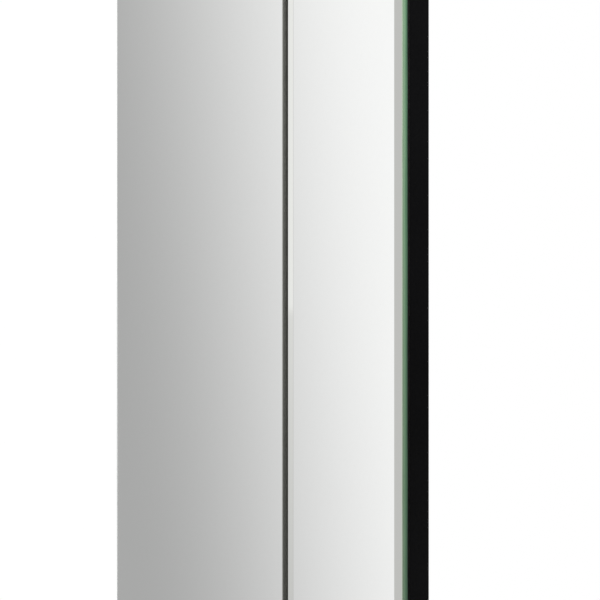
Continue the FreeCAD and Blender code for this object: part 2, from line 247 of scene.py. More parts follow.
def foamFinish():
    finish, tree, shader, place = startFinish(
        "foamTape", Roughness=foam["roughness"], Specular_IOR_Level=foam["specular"])
    pattern = addNode(tree, "ShaderNodeTexVoronoi", {"Vector": place, "Scale": foam["cell"]})
    cells = pattern.outputs["Distance"]
    # the cell hollows are darker: painted shade in the recesses of the foam
    colours = shade(foam["colour"], foam["cellShade"]), foam["colour"]
    plugIn(tree, colourRamp(tree, cells, zip(foam["cellSpan"], colours)), shader.inputs["Base Color"])
    addBump(tree, shader, cells, foam["bump"])
    return finish


blackPaint = {"dark": (0.0012, 0.0012, 0.0014), "worn": (0.0032, 0.0032, 0.0035), "wearSpan": (0.35, 0.75),
              "wear": 14.0, "peel": 900.0,
              "roughness": (0.52, 0.68), "bump": (0.25, 0.08), "specular": 0.03}


def blackPaintFinish():
    finish, tree, shader, place = startFinish("matteBlackPaint", Specular_IOR_Level=blackPaint["specular"])
    wear = noise(tree, place, blackPaint["wear"], detail=5.0)
    peel = noise(tree, place, blackPaint["peel"])
    colours = blackPaint["dark"], blackPaint["worn"]
    setSurface(tree, shader, colourRamp(tree, wear, zip(blackPaint["wearSpan"], colours)), peel, blackPaint)
    return finish


rolledCoat = {"full": (0.0085, 0.0085, 0.0090), "thin": (0.024, 0.022, 0.020), "thinSpan": (0.36, 0.60),
              "patch": 9.0, "roller": 620.0, "shares": (0.55, 0.45),
              "roughness": (0.48, 0.66), "bump": (0.3, 0.12), "specular": 0.3}


def rolledCoatFinish():
    finish, tree, shader, place = startFinish("rolledBlackCoat", Specular_IOR_Level=rolledCoat["specular"])
    patch = noise(tree, place, rolledCoat["patch"], detail=6.0)
    roller = noise(tree, place, rolledCoat["roller"])
    mixed = weigh(tree, (patch, roller), rolledCoat["shares"])
    colours = rolledCoat["full"], rolledCoat["thin"]
    colour = colourRamp(tree, mixed, zip(rolledCoat["thinSpan"], colours))
    setSurface(tree, shader, colour, roller, rolledCoat)
    return finish


# fibres lie at these degrees, and darken or lighten the board by this much
fibreboard = {"stops": [(0.10, (0.15, 0.088, 0.048)), (0.46, (0.335, 0.228, 0.142)),
                        (0.80, (0.47, 0.35, 0.235))],
              "speckle": 2400.0, "cloud": 7.0, "cloudDepth": (0.28, 0.72), "shares": (0.45, 0.55),
              "fibre": 1250.0, "fibreLength": 6.0, "fibreShare": 0.2, "fibreEdge": (0.1, 0.45),
              "fibres": ((12, -0.15), (75, -0.13), (-38, -0.14), (-12, 0.15), (48, 0.13), (100, 0.14)),
              "roughness": (0.72, 0.9), "bump": (0.12, 0.05), "specular": 0.25}


def fibres(tree, place, degrees):
    turn = (0, math.radians(degrees), 0)
    inputs = {"Vector": place, "Rotation": turn, "Scale": (fibreboard["fibreLength"], 1, 1)}
    laid = addNode(tree, "ShaderNodeMapping", inputs, vector_type="TEXTURE").outputs[0]
    cells = addNode(tree, "ShaderNodeTexVoronoi", {"Vector": laid, "Scale": fibreboard["fibre"]}).outputs
    chosen = calc(tree, "LESS_THAN", splitAxes(tree, cells["Color"])[0], fibreboard["fibreShare"])
    shown = mapRange(tree, cells["Distance"], fibreboard["fibreEdge"], (1.0, 0.0))
    return calc(tree, "MULTIPLY", chosen, shown)


def fibreboardFinish():
    finish, tree, shader, place = startFinish("rawFibreboard", Specular_IOR_Level=fibreboard["specular"])
    speckle = noise(tree, place, fibreboard["speckle"], detail=2.0)
    cloud = noise(tree, place, fibreboard["cloud"], detail=6.0)
    softCloud = mapRange(tree, cloud, (0.0, 1.0), fibreboard["cloudDepth"])
    mixed = weigh(tree, (speckle, softCloud), fibreboard["shares"])
    for degrees, push in fibreboard["fibres"]:
        mixed = calc(tree, "ADD", mixed, calc(tree, "MULTIPLY", fibres(tree, place, degrees), push))
    setSurface(tree, shader, colourRamp(tree, mixed, fibreboard["stops"]), speckle, fibreboard)
    return finish


pine = {"pale": (0.66, 0.48, 0.29), "dark": (0.47, 0.29, 0.145), "darkSpan": (0.15, 0.95),
        "rings": 150.0, "ringEdge": 2.2, "streak": 300.0, "streakStretch": (0.03, 1, 1),
        "shares": (0.55, 0.5),
        "sway": 1.6, "swayStretch": (1, 6, 6), "swaySpan": (0.2, 0.8), "swayReach": 24.0,
        "roughness": (0.5, 0.68), "bump": (0.15, 0.08), "specular": 0.3}
knot = {"spot": (0.118, -0.007), "squeeze": 0.6, "reach": 38.0, "push": 7.0, "size": 6.5, "core": 0.55,
        "ragged": 420.0, "raggedReach": 1.2, "depth": 0.85, "colour": (0.17, 0.085, 0.04)}


def pineFinish():
    finish, tree, shader, place = startFinish("planedPine", Specular_IOR_Level=pine["specular"])
    axes = splitAxes(tree, place)
    knotX, knotZ = knot["spot"]
    along = calc(tree, "MULTIPLY", calc(tree, "SUBTRACT", axes[0], knotX), knot["squeeze"])
    across = calc(tree, "SUBTRACT", axes[2], knotZ)
    fromKnot = lengthOf(tree, joinAxes(tree, along, 0.0, across))
    reach, push, size, raggedReach = lengths(knot, "reach", "push", "size", "raggedReach")

    sway = noise(tree, place, pine["sway"], pine["swayStretch"], detail=2.0)
    swayReach = pine["swayReach"] * mm
    swayed = calc(tree, "ADD", axes[2], mapRange(tree, sway, pine["swaySpan"], (-swayReach, swayReach)))
    pushed = fade(tree, fromKnot, (0.0, reach), (push, 0.0))
    aside = calc(tree, "MULTIPLY", calc(tree, "SIGN", across), pushed)
    parted = calc(tree, "SUBTRACT", swayed, aside)  # the grain parts round the knot
    ring = calc(tree, "FRACT", calc(tree, "MULTIPLY", parted, pine["rings"]))
    streak = noise(tree, place, pine["streak"], pine["streakStretch"], detail=4.0)
    grain = weigh(tree, (calc(tree, "POWER", ring, pine["ringEdge"]), streak), pine["shares"])
    wood = colourRamp(tree, grain, zip(pine["darkSpan"], (pine["pale"], pine["dark"])))

    ragged = mapRange(tree, noise(tree, place, knot["ragged"]), noiseSpan, (-raggedReach, raggedReach))
    raggedEdge = calc(tree, "ADD", fromKnot, ragged)
    inKnot = fade(tree, raggedEdge, (size, size * knot["core"]), (0.0, knot["depth"]))
    knotted = mixColours(tree, inKnot, wood, (*knot["colour"], 1))
    plugIn(tree, knotted, shader.inputs["Base Color"])
    plugIn(tree, mapRange(tree, streak, noiseSpan, pine["roughness"]), shader.inputs["Roughness"])
    addBump(tree, shader, grain, pine["bump"])
    return finish


plateWear = {"bloom": 130.0, "bloomSpan": (0.3, 0.65), "dull": 0.86, "bump": (0.08, 0.03)}
plating = {
    "zincPlate": {"colour": (0.66, 0.67, 0.66), "roughness": (0.26, 0.44),
                  "brush": 700.0, "stretch": (1, 1, 0.12)},
    "nickelWire": {"colour": (0.72, 0.71, 0.68), "roughness": (0.12, 0.24),
                   "brush": 900.0, "stretch": (1, 1, 1)},
    "screwZinc": {"colour": (0.70, 0.69, 0.62), "roughness": (0.20, 0.36),
                  "brush": 1200.0, "stretch": (1, 1, 1)}}


def platedFinish(name):
    look = plateWear | plating[name]
    finish, tree, shader, place = startFinish(name, Metallic=1.0)
    bloom = noise(tree, place, look["bloom"], detail=4.0)
    lines = noise(tree, place, look["brush"], look["stretch"])
    colours = shade(look["colour"], look["dull"]), look["colour"]
    setSurface(tree, shader, colourRamp(tree, bloom, zip(look["bloomSpan"], colours)), lines, look)
    return finish


rubber = {"colour": (0.038, 0.038, 0.040), "dust": (0.090, 0.087, 0.083), "dustSpan": (0.40, 0.72),
          "grain": 3600.0, "dusting": 240.0, "shares": (0.35, 0.65),
          "roughness": (0.5, 0.7), "bump": (0.25, 0.08), "specular": 0.35}


def rubberFinish():
    finish, tree, shader, place = startFinish("bumperRubber", Specular_IOR_Level=rubber["specular"])
    grain = noise(tree, place, rubber["grain"], detail=2.0)
    dusting = noise(tree, place, rubber["dusting"], detail=4.0)
    mixed = weigh(tree, (grain, dusting), rubber["shares"])
    colours = rubber["colour"], rubber["dust"]
    setSurface(tree, shader, colourRamp(tree, mixed, zip(rubber["dustSpan"], colours)), grain, rubber)
    return finish


silverFront = silverFinish("silveredFront", silver["tint"], silver["paneWipe"])
silverBevel = silverFinish("silveredBevel", silver["bevelTint"], silver["bevelWipe"], silver["rimTint"])
greenEdge = glassEdgeFinish("greenEdgePaintedLightAndShade")
grooveEdge = glassEdgeFinish("seamedEdgePaintedLight")
arrisEdge = glassEdgeFinish("seamedArris")
greyBack = backPaintFinish()
tapeFoam = foamFinish()
railBlack = blackPaintFinish()
railCoatAndGapLight = rolledCoatFinish()
boardBrown = fibreboardFinish()
battenPine = pineFinish()
plateZinc = platedFinish("zincPlate")
ringNickel = platedFinish("nickelWire")
screwZinc = platedFinish("screwZinc")
bumperBlack = rubberFinish()
print("finishes made,", len(bpy.data.materials))


# mesh helpers
def showMesh(name, mesh, *finishes):
    piece = bpy.data.objects.new(name, mesh)
    bpy.context.scene.collection.objects.link(piece)
    for finish in finishes:
        mesh.materials.append(finish)
    return piece


def meshOf(name, shell):
    mesh = bpy.data.meshes.new(name)
    shell.to_mesh(mesh)
    shell.free()
    return mesh


def closeShell(name, shell):
    bmesh.ops.recalc_face_normals(shell, faces=shell.faces)
    return meshOf(name, shell)


def wallBetween(shell, lower, upper):
    faces = []
    for i in range(len(lower)):
        j = (i + 1) % len(lower)
        faces.append(shell.faces.new((lower[i], lower[j], upper[j], upper[i])))
    return faces


def smoothBelow(mesh, degrees):
    mesh.shade_smooth()
    mesh.set_sharp_from_angle(angle=math.radians(degrees))


def fit(piece, body, slotName, *nodeNames):
    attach(piece, body)
    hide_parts(*nodeNames)


def meshWithModifiers(piece):
    graph = bpy.context.evaluated_depsgraph_get()
    return bpy.data.meshes.new_from_object(piece.evaluated_get(graph), depsgraph=graph)


def newTree(name, sockets):
    tree = bpy.data.node_groups.new(name, "GeometryNodeTree")
    tree.interface.new_socket("Geometry", in_out="INPUT", socket_type="NodeSocketGeometry")
    for label, kind in sockets.items():
        tree.interface.new_socket(label, in_out="INPUT", socket_type=f"NodeSocket{kind}")
    tree.interface.new_socket("Geometry", in_out="OUTPUT", socket_type="NodeSocketGeometry")
    return tree, tree.nodes.new("NodeGroupInput").outputs, tree.nodes.new("NodeGroupOutput").inputs[0]


def grow(name, tree, startMesh, values, place=None):
    piece = showMesh(name, startMesh)
    modifier = piece.modifiers.new("grow", "NODES")
    modifier.node_group = tree
    for item in tree.interface.items_tree:
        if item.in_out == "INPUT" and item.name in values:
            modifier[item.identifier] = values[item.name]
    grown = meshWithModifiers(piece)
    piece.modifiers.clear()
    if place:
        grown.transform(place)
    piece.data = grown
    return piece


def setFinish(tree, geometry, finish, selection=True):
    inputs = {"Geometry": geometry, "Selection": selection, "Material": finish}
    return addNode(tree, "GeometryNodeSetMaterial", inputs).outputs[0]


easing = {"merge": 0.001, "flat": 0.5, "sharp": 30.0, "steps": 2, "round": 0.5}  # in mm and degrees


def softCopy(name, nodeName, ease, finish, smoothTo=14.0):
    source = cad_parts[nodeName].data
    mesh = bpy.data.meshes.new(name)
    mesh.from_pydata([v.co for v in source.vertices], [], [p.vertices for p in source.polygons])
    shell = bmesh.new()
    shell.from_mesh(mesh)
    bpy.data.meshes.remove(mesh)
    bmesh.ops.remove_doubles(shell, verts=shell.verts, dist=easing["merge"] * mm)
    flat, sharp = (math.radians(easing[key]) for key in ("flat", "sharp"))
    bmesh.ops.dissolve_limit(shell, angle_limit=flat, verts=shell.verts, edges=shell.edges)
    outer = [edge for edge in shell.edges if edge.calc_face_angle_signed(0.0) > sharp]
    bmesh.ops.bevel(shell, geom=outer, offset=ease * mm, segments=easing["steps"],
                    profile=easing["round"], affect="EDGES")
    mesh = meshOf(name, shell)
    smoothBelow(mesh, smoothTo)
    return showMesh(name, mesh, finish)


# glass strips: one section swept along each side, mitred at both ends
# a face that points further than its facing limit gets the finish of that face
strip = {"bevelWidth": 3.0, "bevelDepth": 0.75, "arris": 0.15, "ridge": 0.07, "rings": 4,
         "edgeFacing": -0.5, "bevelFacing": -0.9, "frontFacing": -0.999, "backFacing": 0.9}


def stripSection(thickness, width):
    back, edge = thickness / 2, width / 2
    arris, wide, deep, ridge = lengths(strip, "arris", "bevelWidth", "bevelDepth", "ridge")
    half = [
        (back, -edge + arris),
        (back - arris, -edge),
        (-back + deep + arris, -edge),
        (-back + deep - arris * deep / wide, -edge + arris),
        (-back + ridge * deep / wide, -edge + wide - ridge),
        (-back, -edge + wide + ridge),
    ]
    points = [(0, y, z) for y, z in half] + [(0, y, -z) for y, z in reversed(half)]
    mesh = bpy.data.meshes.new("stripSection")
    mesh.from_pydata(points, [(i, (i + 1) % len(points)) for i in range(len(points))], [])
    return mesh


def keepOnPoints(tree, geometry, kind, name, field):
    node = addNode(tree, "GeometryNodeCaptureAttribute", {"Geometry": geometry}, domain="POINT")
    node.capture_items.new(kind, name)
    plugIn(tree, addNode(tree, field).outputs[0], node.inputs[1])
    return node.outputs[0], node.outputs[1]


def stripTree():
    tree, sizes, result = newTree("mitredStrip", {"Half Length": "Float", "End Arris": "Float"})
    outline = addNode(tree, "GeometryNodeMeshToCurve", {"Mesh": sizes["Geometry"]}).outputs[0]
    section, corner = keepOnPoints(tree, outline, "VECTOR", "Corner", "GeometryNodeInputPosition")
    line = addNode(tree, "GeometryNodeCurvePrimitiveLine").outputs[0]
    inputs = {"Curve": line, "Count": strip["rings"]}
    stations = addNode(tree, "GeometryNodeResampleCurve", inputs).outputs[0]
    spine, ring = keepOnPoints(tree, stations, "FLOAT", "Ring", "GeometryNodeInputIndex")
    inputs = {"Curve": spine, "Profile Curve": section, "Fill Caps": True}
    swept = addNode(tree, "GeometryNodeCurveToMesh", inputs).outputs[0]

    middle = (strip["rings"] - 1) / 2
    fromMiddle = calc(tree, "SUBTRACT", ring, middle)
    outermost = calc(tree, "GREATER_THAN", calc(tree, "ABSOLUTE", fromMiddle), middle - 0.5)
    inward = calc(tree, "MULTIPLY", outermost, sizes["End Arris"])  # the end rings are drawn in
    cornerAxes = splitAxes(tree, corner)
    y, z = (calc(tree, "SUBTRACT", part, calc(tree, "MULTIPLY", calc(tree, "SIGN", part), inward))
            for part in (cornerAxes[1], cornerAxes[2]))
    heldBack = calc(tree, "SUBTRACT", sizes["End Arris"], inward)
    reach = calc(tree, "SUBTRACT", calc(tree, "SUBTRACT", sizes["Half Length"], z), heldBack)
    spot = joinAxes(tree, calc(tree, "MULTIPLY", calc(tree, "SIGN", fromMiddle), reach), y, z)
    shaped = addNode(tree, "GeometryNodeSetPosition", {"Geometry": swept, "Position": spot}).outputs[0]
    outward = addNode(tree, "GeometryNodeFlipFaces", {"Mesh": shaped}).outputs[0]
    inputs = {"Geometry": outward, "Shade Smooth": False}
    flat = addNode(tree, "GeometryNodeSetShadeSmooth", inputs).outputs[0]
    real = addNode(tree, "GeometryNodeRealizeInstances", {"Geometry": flat}).outputs[0]

    facing = splitAxes(tree, addNode(tree, "GeometryNodeInputNormal").outputs[0])
    made = setFinish(tree, real, grooveEdge)
    for finish, comparison, axis, limit in ((greenEdge, "LESS_THAN", 2, "edgeFacing"),
                                            (silverBevel, "LESS_THAN", 1, "bevelFacing"),
                                            (silverFront, "LESS_THAN", 1, "frontFacing"),
                                            (greyBack, "GREATER_THAN", 1, "backFacing")):
        made = setFinish(tree, made, finish, calc(tree, comparison, facing[axis], strip[limit]))
    plugIn(tree, made, result)
    return tree


def makeGlassStrips():
    tree = stripTree()
    for turn, name in enumerate(sides):
        low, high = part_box(f"border_strip_{name}")
        across, along = (2, 0) if turn % 2 == 0 else (0, 2)
        size = high - low
        values = {"Half Length": (size[along] - size[across]) / 2, "End Arris": strip["arris"] * mm}
        place = Matrix.Translation((low + high) / 2) @ Matrix.Rotation(turn * math.pi / 2, 4, "Y")
        piece = grow(f"glassStrip_{name}", tree, stripSection(size[1], size[across]), values, place)
        fit(piece, "mirror", "mirror_glass", f"border_strip_{name}")


makeGlassStrips()
print("glass strips made")


# centre pane: rings of four corners from back to front
pane = {"frontArris": 0.22, "backArris": 0.2}


def makeCentrePane():
    low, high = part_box("centre_mirror")
    front, back = lengths(pane, "frontArris", "backArris")
    levels = [(back, high.y), (0.0, high.y - back), (0.0, low.y + front), (front, low.y)]
    shell = bmesh.new()
    rings = []
    for inset, y in levels:
        xs, zs = (low.x + inset, high.x - inset), (low.z + inset, high.z - inset)
        rings.append([shell.verts.new((xs[i], y, zs[j])) for i, j in ((0, 0), (1, 0), (1, 1), (0, 1))])
    finishes = silverFront, grooveEdge, arrisEdge, greyBack
    for finish, lower, upper in zip((grooveEdge, grooveEdge, arrisEdge), rings, rings[1:]):
        for face in wallBetween(shell, lower, upper):
            face.material_index = finishes.index(finish)
    shell.faces.new(rings[-1]).material_index = finishes.index(silverFront)
    shell.faces.new(rings[0]).material_index = finishes.index(greyBack)
    piece = showMesh("centrePane", closeShell("centrePane", shell), *finishes)
    fit(piece, "mirror", "mirror_glass", "centre_mirror")


makeCentrePane()
print("centre pane made")


# rails, board and batten, with eased edges; the rails' rear faces have a coat of their own, and the same
# paler coat on their front faces is painted light in the shaded gap behind the glass
backing = {"railEase": 0.22, "railSmooth": 20.0, "coatAndGapLightFacing": 0.9, "boardEase": 0.3, "battenEase": 0.7}


def makeBacking():
    for name in sides:
        rail = softCopy(f"rail_{name}", f"frame_rail_{name}", backing["railEase"], railBlack,
                        backing["railSmooth"])
        rail.data.materials.append(railCoatAndGapLight)
        for face in rail.data.polygons:
            # rear faces take the paler coat as their own finish; front faces take it as painted light in
            # the shaded gap
            face.material_index = int(abs(face.normal.y) > backing["coatAndGapLightFacing"])
        fit(rail, "mirror", "black_paint", f"frame_rail_{name}")
    board = softCopy("boardBehindPane", "centre_board", backing["boardEase"], boardBrown)
    fit(board, "mirror", "raw_fibreboard", "centre_board")
    batten = softCopy("battenAcross", "cross_batten", backing["battenEase"], battenPine)
    fit(batten, "mirror", "raw_pine", "cross_batten")
    for name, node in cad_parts.items():
        if "_tape_" in name:
            node.data.materials.clear()
            node.data.materials.append(tapeFoam)


makeBacking()
print("backing made")


# plates and straps
plated = {"plateEase": 0.25, "strapEase": 0.12}


def makePlates():
    for name in corners:
        plate = softCopy(f"cornerPlate_{name}", f"corner_plate_{name}", plated["plateEase"], plateZinc)
        fit(plate, "mirror", "zinc_plate", f"corner_plate_{name}")
    for name in sides:
        strap = softCopy(f"hangerStrap_{name}", f"hanger_plate_{name}", plated["strapEase"], plateZinc)
        fit(strap, "mirror", "zinc_plate", f"hanger_plate_{name}")


makePlates()
print("plates and straps made")


# hanger rings: round wire along a rectangle with rounded corners, the upper two nearly a half circle
wireRing = {"wire": 2.4, "lowerCorner": 3.2, "arch": 0.499, "bends": 32, "steps": 120, "roundness": 24}


def ringTree():
    sizeNames = ("Width", "Height", "Wire", "Lower Corner")
    tree, sizes, result = newTree("wireRing", dict.fromkeys(sizeNames, "Float"))
    inputs = {"Width": sizes["Width"], "Height": sizes["Height"]}
    loop = addNode(tree, "GeometryNodeCurvePrimitiveQuadrilateral", inputs, mode="RECTANGLE").outputs[0]
    spot = splitAxes(tree, addNode(tree, "GeometryNodeInputPosition").outputs[0])
    upper = calc(tree, "GREATER_THAN", spot[1], 0.0)
    arch = calc(tree, "MULTIPLY", calc(tree, "MULTIPLY", sizes["Width"], wireRing["arch"]), upper)
    lower = calc(tree, "MULTIPLY", sizes["Lower Corner"], calc(tree, "SUBTRACT", 1.0, upper))
    inputs = {"Curve": loop, "Count": wireRing["bends"], "Radius": calc(tree, "ADD", arch, lower)}
    bent = addNode(tree, "GeometryNodeFilletCurve", inputs, mode="POLY").outputs[0]
    inputs = {"Curve": bent, "Count": wireRing["steps"]}
    even = addNode(tree, "GeometryNodeResampleCurve", inputs).outputs[0]
    inputs = {"Resolution": wireRing["roundness"], "Radius": calc(tree, "MULTIPLY", sizes["Wire"], 0.5)}
    wire = addNode(tree, "GeometryNodeCurvePrimitiveCircle", inputs).outputs[0]
    tube = addNode(tree, "GeometryNodeCurveToMesh", {"Curve": even, "Profile Curve": wire}).outputs[0]
    smooth = addNode(tree, "GeometryNodeSetShadeSmooth", {"Geometry": tube}).outputs[0]
    real = addNode(tree, "GeometryNodeRealizeInstances", {"Geometry": smooth}).outputs[0]
    plugIn(tree, setFinish(tree, real, ringNickel), result)
    return tree


def makeRings():
    tree = ringTree()
    wire, lowerCorner = lengths(wireRing, "wire", "lowerCorner")
    for name in sides:
        low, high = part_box(f"hanger_ring_{name}")
        across, along, turn = (0, 2, 0.0) if name in ("left", "right") else (2, 0, math.pi / 2)
        size = high - low
        values = {"Width": size[across] - wire, "Height": size[along] - wire, "Wire": wire,
                  "Lower Corner": lowerCorner}
        upright = Matrix.Rotation(math.pi / 2, 4, "X")
        place = Matrix.Translation((low + high) / 2) @ Matrix.Rotation(turn, 4, "Y") @ upright
        ring = grow(f"hangerRing_{name}", tree, bpy.data.meshes.new("ringStart"), values, place)
        fit(ring, f"ring_{name}", "ring_steel", f"hanger_ring_{name}")


makeRings()
print("hanger rings made")


# screws and bumpers: one pattern set on every seat, each screw turned by chance
screw = {"head": 7.0, "headHeight": 2.2, "rim": 0.15, "side": 0.9, "shoulder": 1.3,
         "shank": 3.5, "length": 9.0, "point": 3.5, "tip": 0.12, "tipHeight": 0.1,
         "recessSpan": 3.9, "recessArm": 0.95, "recessDepth": 1.5, "recessTaper": 0.5, "cutterOver": 0.5,
         "steps": 40, "roundSteps": 6, "smoothTo": 32.0, "seed": 5}
bumper = {"base": 13.0, "tip": 10.0, "height": 5.5, "round": 1.0, "footEase": 0.3, "footHeight": 0.8,
          "neckIn": 0.35, "neckHeight": 1.1, "dimple": 3.0, "dimpleDepth": 0.5, "lip": 0.25, "lipDrop": 0.2,
          "dimpleSlope": 0.3, "steps": 48, "roundSteps": 6, "smoothTo": 35.0}


def lathe(name, profile, steps):
    # profile in mm from the lower pole to the upper one, as (radius, height) along +Y
    turns = [2 * math.pi * i / steps for i in range(steps)]
    shell = bmesh.new()
    loops = []
    for radius, height in ((r * mm, h * mm) for r, h in profile[1:-1]):
        spots = [(radius * math.cos(turn), height, radius * math.sin(turn)) for turn in turns]
        loops.append([shell.verts.new(spot) for spot in spots])
    for lower, upper in zip(loops, loops[1:]):
        wallBetween(shell, lower, upper)
    for loop, (_, height) in ((loops[0], profile[0]), (loops[-1], profile[-1])):
        pole = shell.verts.new((0, height * mm, 0))
        for i in range(steps):
            shell.faces.new((loop[i], loop[(i + 1) % steps], pole))
    return closeShell(name, shell)


def quarterTurn(steps):
    swings = [step / steps * math.pi / 2 for step in range(steps + 1)]
    return [(1 - math.cos(swing), math.sin(swing)) for swing in swings]


def crossCutter():
    half, arm = screw["recessSpan"] / 2 * mm, screw["recessArm"] / 2 * mm
    outline = [(half, -arm), (half, arm), (arm, arm), (arm, half), (-arm, half), (-arm, arm),
               (-half, arm), (-half, -arm), (-arm, -arm), (-arm, -half), (arm, -half), (arm, -arm)]
    top = (screw["headHeight"] + screw["cutterOver"]) * mm
    bottom = (screw["headHeight"] - screw["recessDepth"]) * mm
    taper = screw["recessTaper"]
    shell = bmesh.new()
    upper = [shell.verts.new((x, top, z)) for x, z in outline]
    lower = [shell.verts.new((x * taper, bottom, z * taper)) for x, z in outline]
    wallBetween(shell, lower, upper)
    shell.faces.new(upper)
    shell.faces.new(lower)
    return showMesh("crossCutter", closeShell("crossCutter", shell))


def screwPattern():
    shank, head, top, end = screw["shank"] / 2, screw["head"] / 2, screw["headHeight"], -screw["length"]
    rim, side = screw["rim"], screw["side"]
    profile = [(0, end), (screw["tip"], end + screw["tipHeight"]), (shank, screw["point"] + end),
               (shank, 0), (head - rim, 0), (head, rim), (head, side)]
    for inward, upward in quarterTurn(screw["roundSteps"])[1:]:
        profile.append((head - screw["shoulder"] * inward, side + (top - side) * upward))
    profile.append((0, top))
    pattern = showMesh("screwPattern", lathe("screwPattern", profile, screw["steps"]))
    cutter = crossCutter()
    modifier = pattern.modifiers.new("recess", "BOOLEAN")
    modifier.object = cutter
    modifier.solver = "EXACT"
    cut = meshWithModifiers(pattern)
    pattern.modifiers.clear()
    pattern.data = cut
    bpy.data.objects.remove(cutter)
    smoothBelow(cut, screw["smoothTo"])
    return pattern


def bumperPattern():
    base, tip, top, edge = bumper["base"] / 2, bumper["tip"] / 2, bumper["height"], bumper["round"]
    foot, dimple, bottom = bumper["footEase"], bumper["dimple"] / 2, top - bumper["dimpleDepth"]
    profile = [(0, 0), (base - foot, 0), (base, foot), (base, bumper["footHeight"]),
               (base - bumper["neckIn"], bumper["neckHeight"])]
    for inward, upward in quarterTurn(bumper["roundSteps"]):
        profile.append((tip - edge * inward, top - edge * (1 - upward)))
    profile += [(dimple + bumper["lip"], top), (dimple, top - bumper["lipDrop"]),
                (dimple - bumper["dimpleSlope"], bottom), (0, bottom)]
    mesh = lathe("bumperPattern", profile, bumper["steps"])
    smoothBelow(mesh, bumper["smoothTo"])
    return showMesh("bumperPattern", mesh)


def seatTree(name, finish):
    tree, sizes, result = newTree(name, {"Pattern": "Object", "Seed": "Int", "Turn": "Float"})
    pattern = addNode(tree, "GeometryNodeObjectInfo", {"Object": sizes["Pattern"], "As Instance": True})
    inputs = {2: 0.0, 3: sizes["Turn"], "Seed": sizes["Seed"]}  # 2 and 3 are the least and the greatest
    chance = addNode(tree, "FunctionNodeRandomValue", inputs, data_type="FLOAT").outputs[1]
    turned = addNode(tree, "FunctionNodeEulerToRotation", {0: joinAxes(tree, 0.0, chance, 0.0)}).outputs[0]
    inputs = {"Points": sizes["Geometry"], "Instance": pattern.outputs["Geometry"], "Rotation": turned}
    placed = addNode(tree, "GeometryNodeInstanceOnPoints", inputs).outputs[0]
    real = addNode(tree, "GeometryNodeRealizeInstances", {"Geometry": placed}).outputs[0]
    plugIn(tree, setFinish(tree, real, finish), result)
    return tree


def seatPoints(name, seats):
    mesh = bpy.data.meshes.new(name)
    mesh.from_pydata(seats, [], [])
    return mesh


plateHoles = {"near": 32.0, "far": 56.0, "line": 8.0, "thickness": 1.5}
strapHoles = {"first": 22.5, "pitch": 15.0}


def plateSeats():
    near, far, line, thickness = lengths(plateHoles, "near", "far", "line", "thickness")
    seats = []
    for name in corners:
        low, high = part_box(f"corner_plate_{name}")
        outerX, inX = (low.x, 1) if "left" in name else (high.x, -1)
        outerZ, inZ = (low.z, 1) if "lower" in name else (high.z, -1)
        for along, across in ((near, line), (far, line), (line, near), (line, far)):
            seats.append((outerX + inX * along, thickness, outerZ + inZ * across))
    return seats


def strapSeats():
    first, pitch = lengths(strapHoles, "first", "pitch")
    bar = wireRing["wire"] * mm / 2  # from the ring's lower end to the middle of its bar
    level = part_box("hanger_screws")[1].y - screw["headHeight"] * mm
    seats = []
    for name in sides:
        low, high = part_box(f"hanger_ring_{name}")
        middle = (low + high) / 2
        for back in (first, first + pitch):
            if name in ("left", "right"):
                seats.append((middle.x, level, low.z + bar - back))
            else:
                seats.append((low.x + bar - back, level, middle.z))
    return seats


def makeFasteners():
    pattern = screwPattern()
    tree = seatTree("screwsOnSeats", screwZinc)
    values = {"Pattern": pattern, "Seed": screw["seed"], "Turn": math.pi / 2}
    for name, node, seats in (("plateScrews", "corner_plate_screws", plateSeats()),
                              ("strapScrews", "hanger_screws", strapSeats())):
        piece = grow(name, tree, seatPoints(name, seats), values)
        fit(piece, "mirror", "screw_steel", node)
    bpy.data.objects.remove(pattern)


def makeBumpers():
    pattern = bumperPattern()
    nodeNames = [f"wall_bumper_{name}" for name in corners]
    seats = []
    for name in nodeNames:
        low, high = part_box(name)
        seats.append(((low.x + high.x) / 2, low.y, (low.z + high.z) / 2))
    tree = seatTree("bumpersOnSeats", bumperBlack)
    values = {"Pattern": pattern, "Seed": 0, "Turn": 0.0}
    piece = grow("wallBumpers", tree, seatPoints("wallBumpers", seats), values)
    fit(piece, "mirror", "bumper_rubber", *nodeNames)
    bpy.data.objects.remove(pattern)


makeFasteners()
makeBumpers()
print("screws and bumpers made")


# studio: a pale floor that fades away, a soft sky of light panels, three lamps and the camera
floor = {"radius": 2.6, "fadeFrom": 0.7, "segments": 96, "colour": (0.80, 0.80, 0.79),
         "roughness": 0.8, "specular": 0.1}


def makeFloor():
    shell = bmesh.new()
    bmesh.ops.create_circle(shell, cap_ends=True, segments=floor["segments"], radius=floor["radius"])
    bmesh.ops.translate(shell, verts=shell.verts, vec=(0, 0, cadBox[0].z))
    finish, tree, shader, place = startFinish(
        "paleFloor", Base_Color=(*floor["colour"], 1), Roughness=floor["roughness"],
        Specular_IOR_Level=floor["specular"])
    axes = splitAxes(tree, place)
    away = lengthOf(tree, joinAxes(tree, axes[0], axes[1], 0.0))
    gone = fade(tree, away, (floor["fadeFrom"], floor["radius"]), (0.0, 1.0))
    clear = addNode(tree, "ShaderNodeBsdfTransparent").outputs[0]
    mixed = addNode(tree, "ShaderNodeMixShader", {0: gone, 1: shader.outputs[0], 2: clear}).outputs[0]
    output = next(node for node in tree.nodes if node.type == "OUTPUT_MATERIAL")
    plugIn(tree, mixed, output.inputs["Surface"])
    showMesh("paleFloor", meshOf("paleFloor", shell), finish)


